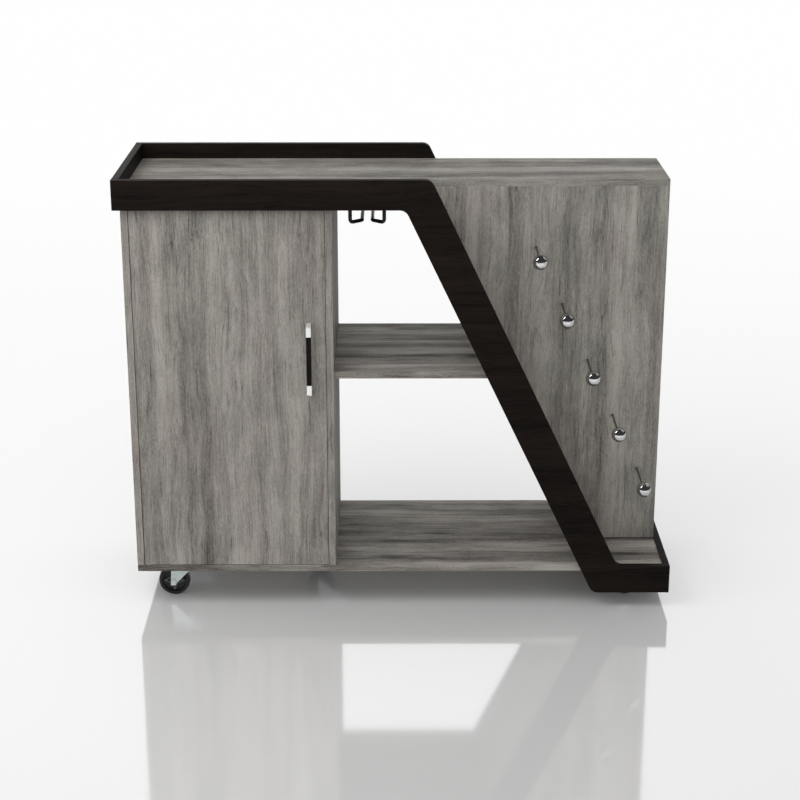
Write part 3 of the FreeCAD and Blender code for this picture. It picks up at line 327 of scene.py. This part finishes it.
# Each board: its grain's axis, its seed and how strong its bands are.
board_ease = 0.0005
band_lean = math.atan(0.478)
# The top board's print is darkened: painted shade for a top that takes less light than the
# fronts.
top_painted_shade = 0.075
for node, along, seed, figure in (
    ("top_panel", "X", 14, 1.1), ("base_panel", "X", 2, 1.7), ("mid_shelf", "X", 3, 2.3),
    ("cabinet_shelf", "X", 4, 1.6), ("header_rail", "X", 5, 1.6),
    ("left_side_panel", "Z", 6, 1.0), ("divider_panel", "Z", 7, 1.0),
    ("right_side_panel", "Z", 8, 1.0), ("slanted_panel", "Z", 9, 1.0),
    ("peg_panel", "Z", 10, 1.0), ("door", "Z", 11, 1.0),
):
    lean = band_lean if node == "slanted_panel" else 0.0
    # Only the top board gets the painted shade.
    painted_shade = top_painted_shade if node == "top_panel" else 0.0
    eased(node, board_ease, grey_oak(f"{node}_oak", along, seed, figure, lean, painted_shade))

# Dark frames. The two Z boards and the short end boards are stained almost
# black and lacquered; the grain runs along the cart and only just shows.


def espresso(name, along, seed):
    """Near-black stained wood under satin lacquer."""
    material, tree, output = new_material(name)
    grain = Grain(tree, along, seed)
    waved = grain.waved.outputs[0]
    broad = grain.noise(waved, 30, 1.5, 3, 0.6)
    fibre = grain.noise(waved, 240, 6, 4, 0.7)
    pores = grain.noise(waved, 480, 22, 2, 0.5)
    pale = 0.0
    for source, low, high, share in (
        (broad.outputs["Fac"], 0.35, 0.75, 0.45),
        (fibre.outputs["Fac"], 0.35, 0.8, 0.55),
        (pores.outputs["Fac"], 0.62, 0.7, -0.3),
    ):
        pale = grain.add(pale, grain.band(source, low, high), share)
    ramp = tree.nodes.new("ShaderNodeValToRGB")
    ramp.color_ramp.elements[0].color = (0.0046, 0.0042, 0.0041, 1)
    ramp.color_ramp.elements[1].color = (0.0215, 0.0150, 0.0116, 1)
    tree.links.new(pale, ramp.inputs["Fac"])
    surface = tree.nodes.new("ShaderNodeBsdfPrincipled")
    surface.inputs["Specular IOR Level"].default_value = 0.02
    tree.links.new(ramp.outputs["Color"], surface.inputs["Base Color"])
    tree.links.new(grain.add(0.52, pale, -0.12), surface.inputs["Roughness"])
    bump = tree.nodes.new("ShaderNodeBump")
    bump.inputs["Strength"].default_value = 0.2
    bump.inputs["Distance"].default_value = 0.0003
    tree.links.new(pale, bump.inputs["Height"])
    tree.links.new(bump.outputs[0], surface.inputs["Normal"])
    tree.links.new(surface.outputs[0], output.inputs["Surface"])
    return material


frame_ease = 0.001
for seed, (node, along) in enumerate((
    ("front_frame", "X"), ("back_frame", "X"), ("tray_end_board", "Y"), ("lower_end_board", "Y"),
)):
    eased(node, frame_ease, espresso(f"{node}_stain", along, seed + 21), steps=3)

# Cabinet back. A thin hardboard sheet, printed grey on the inside, let in
# between the uprights.
sheet_ease = 0.0003
back_print = grey_oak("cabinet_back_print", "Z", 31)
eased("cabinet_back_panel", sheet_ease, back_print)

# Dowels. Fluted beech pins, glued into blind holes between the boards.


def beech(name):
    """Pale turned beech."""
    material, tree, output = new_material(name)
    grain = Grain(tree, "Z", 5)
    fleck = grain.noise(grain.shifted.outputs[0], 900, 160, 3, 0.6)
    ramp = tree.nodes.new("ShaderNodeValToRGB")
    ramp.color_ramp.elements[0].color = (0.42, 0.27, 0.15, 1)
    ramp.color_ramp.elements[1].color = (0.68, 0.50, 0.33, 1)
    tree.links.new(fleck.outputs["Fac"], ramp.inputs["Fac"])
    surface = tree.nodes.new("ShaderNodeBsdfPrincipled")
    surface.inputs["Roughness"].default_value = 0.6
    tree.links.new(ramp.outputs["Color"], surface.inputs["Base Color"])
    tree.links.new(surface.outputs[0], output.inputs["Surface"])
    return material


dowel_ease = 0.0006
eased("dowels", dowel_ease, beech("dowel_beech"))

# Zinc hardware. Pressed and turned steel parts under a bright, faintly green
# zinc plate: screws, pins, nuts, caster plates, forks, axles and rivets.


def metal(name, colour, dull, cloud, streak, bare=1.0, painted_rim_tint=1.0):
    """Metal with a clouded sheen; milky plating is less than bare, and a low last argument tints
    the edges black, a painted dark reflection round the edge.
    """
    material, tree, output = new_material(name)
    grain = Grain(tree, "Z", 8)
    mist = grain.noise(grain.shifted.outputs[0], 60, 60, 4, 0.6)
    scuff = grain.noise(grain.shifted.outputs[0], 1200, 300, 2, 0.6)
    ramp = tree.nodes.new("ShaderNodeValToRGB")
    ramp.color_ramp.elements[0].position = 0.3
    ramp.color_ramp.elements[0].color = [part * (1 - cloud) for part in colour] + [1]
    ramp.color_ramp.elements[1].position = 0.7
    ramp.color_ramp.elements[1].color = list(colour) + [1]
    tree.links.new(mist.outputs["Fac"], ramp.inputs["Fac"])
    surface = tree.nodes.new("ShaderNodeBsdfPrincipled")
    surface.inputs["Metallic"].default_value = bare
    surface.inputs["Specular Tint"].default_value = (painted_rim_tint, painted_rim_tint, painted_rim_tint, 1)
    tree.links.new(ramp.outputs["Color"], surface.inputs["Base Color"])
    tree.links.new(grain.add(dull, scuff.outputs["Fac"], streak), surface.inputs["Roughness"])
    tree.links.new(surface.outputs[0], output.inputs["Surface"])
    return material


pressed_ease = 0.00025
zinc = metal("bright_zinc", (0.72, 0.80, 0.78), 0.48, 0.12, 0.12, bare=0.45)
for node in ("shelf_pins", "pivot_pins", "caster_kingpins", "caster_plates", "catch_strike"):
    eased(node, pressed_ease, zinc)

# Screws and nuts. Zinc screws with thread and driven recess, one master to a
# size, copied to each hole that the made pieces have; hexagon nuts hold the pegs.


def turned(rings, sides=48, front=False, loop=False):
    """A turned solid in millimetres: (along, radius, kind) rings, kind for hex or cross."""
    shape = bmesh.new()
    rows = []
    for along, radius, kind in rings:
        row = []
        for step in range(sides):
            angle = math.tau * step / sides
            reach = radius
            if kind == "hex":
                reach = radius * math.cos(math.pi / 6) / math.cos(
                    (angle % (math.pi / 3)) - math.pi / 6
                )
            elif kind == "cross":
                arm = math.radians(15)
                lean = (angle + math.pi / 4) % (math.pi / 2) - math.pi / 4
                if abs(lean) > arm + 1e-6:
                    reach = radius * math.tan(arm) / math.sin(abs(lean))
                else:
                    reach = radius / math.cos(lean)
            across, up = reach * math.cos(angle) / 1000, reach * math.sin(angle) / 1000
            place = (across, -along / 1000, up) if front else (across, up, along / 1000)
            row.append(shape.verts.new(place))
        rows.append(row)
    pairs = list(zip(rows, rows[1:])) + ([(rows[-1], rows[0])] if loop else [])
    for near, far in pairs:
        for step in range(sides):
            after = (step + 1) % sides
            shape.faces.new((near[step], near[after], far[after], far[step]))
    if not loop:
        shape.faces.new(rows[0])
        shape.faces.new(rows[-1])
    bmesh.ops.recalc_face_normals(shape, faces=shape.faces)
    mesh = bpy.data.meshes.new("turned")
    shape.to_mesh(mesh)
    shape.free()
    mesh.shade_smooth()
    mesh.set_sharp_from_angle(angle=math.radians(35))
    return mesh


def repeated(name, master, places, turns, about, material):
    """One plain mesh of a part copied to points and turned there, by Geometry Nodes."""
    tree = bpy.data.node_groups.new(f"{name}_copies", "GeometryNodeTree")
    wanted = {}
    for label, kind in (("Points", "Geometry"), ("Part", "Object"), ("Turn axis", "Vector"),
                        ("Size", "Float"), ("Finish", "Material")):
        wanted[label] = tree.interface.new_socket(
            label, in_out="INPUT", socket_type=f"NodeSocket{kind}"
        )
    tree.interface.new_socket("Copies", in_out="OUTPUT", socket_type="NodeSocketGeometry")
    enter = tree.nodes.new("NodeGroupInput")
    source = tree.nodes.new("GeometryNodeObjectInfo")
    turn = tree.nodes.new("GeometryNodeInputNamedAttribute")
    turn.inputs["Name"].default_value = "turn"
    twist = tree.nodes.new("FunctionNodeAxisAngleToRotation")
    copies = tree.nodes.new("GeometryNodeInstanceOnPoints")
    real = tree.nodes.new("GeometryNodeRealizeInstances")
    finish = tree.nodes.new("GeometryNodeSetMaterial")
    leave = tree.nodes.new("NodeGroupOutput")
    for out, into in (
        (enter.outputs["Points"], copies.inputs["Points"]),
        (enter.outputs["Part"], source.inputs["Object"]),
        (source.outputs["Geometry"], copies.inputs["Instance"]),
        (enter.outputs["Turn axis"], twist.inputs["Axis"]),
        (turn.outputs["Attribute"], twist.inputs["Angle"]),
        (twist.outputs["Rotation"], copies.inputs["Rotation"]),
        (enter.outputs["Size"], copies.inputs["Scale"]),
        (copies.outputs["Instances"], real.inputs["Geometry"]),
        (real.outputs["Geometry"], finish.inputs["Geometry"]),
        (enter.outputs["Finish"], finish.inputs["Material"]),
        (finish.outputs["Geometry"], leave.inputs["Copies"]),
    ):
        tree.links.new(out, into)
    points = bpy.data.meshes.new(name)
    points.from_pydata(places, [], [])
    turning = points.attributes.new("turn", "FLOAT", "POINT")
    turning.data.foreach_set("value", turns)
    piece = bpy.data.objects.new(name, points)
    part = bpy.data.objects.new(f"{name}_part", master)
    scene.collection.objects.link(piece)
    scene.collection.objects.link(part)
    copier = piece.modifiers.new("copies", "NODES")
    copier.node_group = tree
    copier[wanted["Part"].identifier] = part
    copier[wanted["Turn axis"].identifier] = about
    copier[wanted["Size"].identifier] = 1.0
    copier[wanted["Finish"].identifier] = material
    view = bpy.context.evaluated_depsgraph_get()
    piece.data = bpy.data.meshes.new_from_object(piece.evaluated_get(view))
    piece.modifiers.clear()
    bpy.data.objects.remove(part)
    return piece


def solids(node):
    """(lowest, highest) corners of each separate solid of a made piece, in order."""
    shape = bmesh.new()
    shape.from_mesh(frame["nodes"][node].data)
    bmesh.ops.remove_doubles(shape, verts=shape.verts, dist=1e-6)
    left = set(shape.verts)
    boxes = []
    while left:
        edge = [left.pop()]
        group = set(edge)
        while edge:
            for joined in edge.pop().link_edges:
                for vert in joined.verts:
                    if vert not in group:
                        group.add(vert)
                        edge.append(vert)
        left -= group
        boxes.append([
            Vector([pick(vert.co[axis] for vert in group) for axis in range(3)])
            for pick in (min, max)
        ])
    shape.free()
    return sorted(boxes, key=lambda box: [round(part, 4) for part in box[0]])


def screw(head, head_deep, shank, length, drive, pitch, front=False):
    """A screw that points away from its head: dished or pan head, driven recess, thread."""
    rings = [(head_deep * 0.55, head * 0.42, drive), (0.0, head * 0.52, drive),
             (0.0, head * 0.86, None), (head_deep * 0.12, head * 0.97, None),
             (head_deep * 0.35, head, None), (head_deep * 0.6, head, None),
             (head_deep, shank, None)]
    along = head_deep + pitch
    while along < length - 2 * pitch:
        rings += [(along, shank, None), (along + pitch / 2, shank * 0.78, None)]
        along += pitch
    rings += [(length - pitch, shank * 0.7, None), (length, shank * 0.2, None)]
    return turned(rings, 24, front)


golden_turn = 2.4  # radians from one screw's turn to the next, so that no two line up
for node, at_back, head_deep, shank, drive, pitch in (
    ("base_screws", False, 4, 2.5, "hex", 3),
    ("caster_screws", False, 2, 2.2, "cross", 1.5),
    ("rack_screws", False, 1.8, 1.9, "cross", 1.5),
    ("handle_screws", True, 2.2, 2, "cross", 0.7),
):
    boxes = solids(node)
    low, high = boxes[0]
    if at_back:
        places = [((low.x + high.x) / 2, high.y, (low.z + high.z) / 2) for low, high in boxes]
        length, about = (high.y - low.y) * 1000, (0, 1, 0)
    else:
        places = [((low.x + high.x) / 2, (low.y + high.y) / 2, low.z) for low, high in boxes]
        length, about = (high.z - low.z) * 1000, (0, 0, 1)
    master = screw((high.x - low.x) * 500, head_deep, shank, length, drive, pitch, at_back)
    turns = [golden_turn * number for number in range(len(places))]
    piece = repeated(f"{node}_turned", master, places, turns, about, zinc)
    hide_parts(node)
    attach(piece, body_of[node])

nut_radius = 4.5
nut_chamfer_radius = 3.7
nut_chamfer = 0.35
boxes = solids("peg_nuts")
deep = (boxes[0][1].y - boxes[0][0].y) * 1000
nut = turned([(0, nut_chamfer_radius, None), (nut_chamfer, nut_radius, "hex"),
              (deep - nut_chamfer, nut_radius, "hex"), (deep, nut_chamfer_radius, None)],
             24, front=True)
places = [((low.x + high.x) / 2, high.y, (low.z + high.z) / 2) for low, high in boxes]
piece = repeated("peg_nuts_turned", nut, places,
                 [golden_turn * number for number in range(len(places))], (0, 1, 0), zinc)
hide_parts("peg_nuts")
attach(piece, body_of["peg_nuts"])

# Door hardware. White nylon bushes take the pivot pins; a magnetic catch in a
# white housing holds the door shut.


def moulded(name, colour, rough, fine, shine=0.5):
    """Moulded plastic with a fine matt grain."""
    material, tree, output = new_material(name)
    grain = Grain(tree, "Z", 3)
    pebble = grain.noise(grain.shifted.outputs[0], fine, fine, 3, 0.6)
    cloud = grain.noise(grain.shifted.outputs[0], 40, 40, 3, 0.6)
    ramp = tree.nodes.new("ShaderNodeValToRGB")
    ramp.color_ramp.elements[0].position = 0.3
    ramp.color_ramp.elements[0].color = [part * 0.8 for part in colour] + [1]
    ramp.color_ramp.elements[1].position = 0.7
    ramp.color_ramp.elements[1].color = list(colour) + [1]
    tree.links.new(cloud.outputs["Fac"], ramp.inputs["Fac"])
    surface = tree.nodes.new("ShaderNodeBsdfPrincipled")
    surface.inputs["Specular IOR Level"].default_value = shine
    tree.links.new(ramp.outputs["Color"], surface.inputs["Base Color"])
    tree.links.new(grain.add(rough, pebble.outputs["Fac"], 0.15), surface.inputs["Roughness"])
    bump = tree.nodes.new("ShaderNodeBump")
    bump.inputs["Strength"].default_value = 0.15
    bump.inputs["Distance"].default_value = 0.0002
    tree.links.new(pebble.outputs["Fac"], bump.inputs["Height"])
    tree.links.new(bump.outputs[0], surface.inputs["Normal"])
    tree.links.new(surface.outputs[0], output.inputs["Surface"])
    return material


bush_ease = 0.0003
catch_ease = 0.0012
nylon = moulded("white_nylon", (0.78, 0.78, 0.75), 0.4, 1500)
eased("pivot_bushes", bush_ease, nylon)
eased("catch_body", catch_ease, nylon, steps=3)

# Handle. A square black bar between two bright cranked ends, screwed on from
# inside the door.
end_ease = 0.0008
grip_ease = 0.0012
# The chrome's edges are tinted black: a painted dark reflection at the balls' rims.
chrome = metal("polished_chrome", (0.90, 0.90, 0.89), 0.04, 0.03, 0.03, painted_rim_tint=0.0)
black_lacquer = moulded("black_lacquer", (0.005, 0.004, 0.004), 0.16, 900, 0.1)
bright_end = metal("bright_ends", (0.92, 0.92, 0.90), 0.2, 0.03, 0.06, bare=0.55)
for node in ("handle_bottom_end", "handle_top_end"):
    eased(node, end_ease, bright_end, steps=3)
eased("handle_grip", grip_ease, black_lacquer, steps=3)

# Pegs. Thin dark rods screwed through the peg board, each with a polished ball
# on its end.
steel = metal("burnished_steel", (0.26, 0.25, 0.235), 0.3, 0.2, 0.1)


def placed(name, mesh, place, material, node):
    """Set a turned mesh at a place, in its finish, for one made piece."""
    mesh.transform(Matrix.Translation(place))
    mesh.materials.clear()
    mesh.materials.append(material)
    piece = bpy.data.objects.new(name, mesh)
    scene.collection.objects.link(piece)
    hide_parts(node)
    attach(piece, body_of[node])
    return piece


# Sizes in millimetres.
ball = 16.2
neck = 3.6
neck_long = 1.2
rod_radius = 2.5
thread_radius = 2
thread_root = 1.7
thread_pitch = 0.7
thread_run_out = 4
collar_radius = 3.5
neck_angle = math.asin(neck / ball)
board_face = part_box("peg_panel")[0].y
board_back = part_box("peg_panel")[1].y
for number in range(1, 6):
    low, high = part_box(f"peg_rod_{number}")
    middle = (low + high) / 2
    stud = (high.y - board_back) * 1000
    face = (high.y - board_face) * 1000
    tip = (high.y - low.y) * 1000
    rings = [(0, 1.3, None), (0.5, thread_radius, None)]
    along = 0.8
    while along < stud + thread_run_out:
        rings += [(along, thread_radius, None), (along + thread_pitch / 2, thread_root, None)]
        along += thread_pitch
    rings += [(face - 0.5, thread_radius, None), (face, 3.2, None),
              (face + 0.3, collar_radius, None), (face + 1.6, collar_radius, None),
              (face + 2, 3.2, None), (face + 2.1, rod_radius, None),
              (tip - 0.5, rod_radius, None), (tip, 2, None)]
    placed(f"peg_rod_{number}_turned", turned(rings, 36, front=True),
           (middle.x, high.y, middle.z), steel, f"peg_rod_{number}")
    low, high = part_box(f"peg_knob_{number}")
    middle = (low + high) / 2
    rings = [(ball * (1 - math.cos(neck_angle)) - neck_long, neck - 0.3, None),
             (ball * (1 - math.cos(neck_angle)) - neck_long + 0.3, neck, None)]
    for step in range(45):
        angle = neck_angle + (math.pi - 0.03 - neck_angle) * step / 44
        rings.append((ball * (1 - math.cos(angle)), ball * math.sin(angle), None))
    placed(f"peg_knob_{number}_turned", turned(rings, 72, front=True),
           (middle.x, high.y, middle.z), chrome, f"peg_knob_{number}")

# Glass rack. Two bent black wires with welded feet, under the top.
wire_ease = 0.0003
black_wire = moulded("black_wire", (0.005, 0.005, 0.005), 0.14, 900, 0.3)
for node in ("rack_wire_left", "rack_wire_right"):
    eased(node, wire_ease, black_wire)

# Casters. Zinc forks swivel on riveted plates; the wheels are moulded in
# black plastic with V ribs on a thin web. Sections are in millimetres: along
# the axle and out from it.
fork_ease = 0.0005
black_wheel = moulded("black_wheel", (0.016, 0.016, 0.017), 0.3, 1100, 0.4)
# The ribs take a lighter grey than the wheel: a painted highlight on the rib edges.
rib_painted_highlight = moulded("rib_painted_highlight", (0.10, 0.10, 0.103), 0.35, 1100, 0.5)
tread = [(11, 27.6), (11, 31), (10.6, 32.6), (9.6, 34.0), (8.2, 34.8), (6.5, 35),
         (0.5, 35), (0.2, 34.8)]
side = [(12, 3.05), (12, 8.3), (11.3, 9), (3.5, 9.2), (3, 9.8), (3, 26.0), (3.6, 26.8),
        (10.3, 27)] + tread
profile = [(along, radius, None) for along, radius in side]
profile += [(-along, radius, None) for along, radius in reversed(side)]
rib_line = [(-9, 5), (0, 24.5), (9, 5), (6.6, 5), (0, 18), (-6.6, 5)]
rib_reach = 10.2
rib_shape = bmesh.new()
rib_face = rib_shape.faces.new([
    rib_shape.verts.new((across / 1000, -rib_reach / 1000, up / 1000)) for across, up in rib_line
])
pushed = bmesh.ops.extrude_face_region(rib_shape, geom=[rib_face])
bmesh.ops.translate(
    rib_shape, vec=(0, 2 * rib_reach / 1000, 0),
    verts=[part for part in pushed["geom"] if isinstance(part, bmesh.types.BMVert)],
)
bmesh.ops.recalc_face_normals(rib_shape, faces=rib_shape.faces)
bmesh.ops.bevel(rib_shape, geom=rib_shape.edges, offset=0.0006, segments=2, affect="EDGES",
                profile=0.5, clamp_overlap=True)
rib = bpy.data.meshes.new("rib")
rib_shape.to_mesh(rib)
rib_shape.free()
rib.shade_smooth()
rib_count = 4
dome = [(0, 2.5), (0.5, 4.4), (1.3, 5.5), (2.3, 6), (3, 6), (3.01, 3)]

for where in ("front_left", "front_right", "back_left", "back_right", "middle"):
    eased(f"caster_fork_{where}", fork_ease, zinc)
    low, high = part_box(f"caster_axle_{where}")
    middle = (low + high) / 2
    length = (high.y - low.y) * 1000
    rings = [(along, radius, None) for along, radius in dome]
    rings += [(length - along, radius, None) for along, radius in reversed(dome)]
    placed(f"caster_axle_{where}_turned", turned(rings, 36, front=True),
           (middle.x, high.y, middle.z), zinc, f"caster_axle_{where}")
    node = f"caster_wheel_{where}"
    low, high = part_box(node)
    hub = (low + high) / 2
    ribs = repeated(f"{node}_ribs", rib, [hub] * rib_count,
                    [math.tau * number / rib_count for number in range(rib_count)],
                    (0, 1, 0), black_wheel)
    whole = turned(profile, 96, front=True, loop=True)
    whole.transform(Matrix.Translation(hub))
    joined = bmesh.new()
    joined.from_mesh(whole)
    turned_faces = len(joined.faces)
    joined.from_mesh(ribs.data)
    rib_faces = len(joined.faces) - turned_faces
    wheel = bpy.data.meshes.new(f"{node}_moulded")
    joined.to_mesh(wheel)
    joined.free()
    bpy.data.objects.remove(ribs)
    wheel.shade_smooth()
    wheel.set_sharp_from_angle(angle=math.radians(40))
    placed(f"{node}_moulded", wheel, (0, 0, 0), black_wheel, node)
    # Rib faces get the lighter grey of the painted rib highlight.
    wheel.materials.append(rib_painted_highlight)
    wheel.polygons.foreach_set("material_index", [0] * turned_faces + [1] * rib_faces)
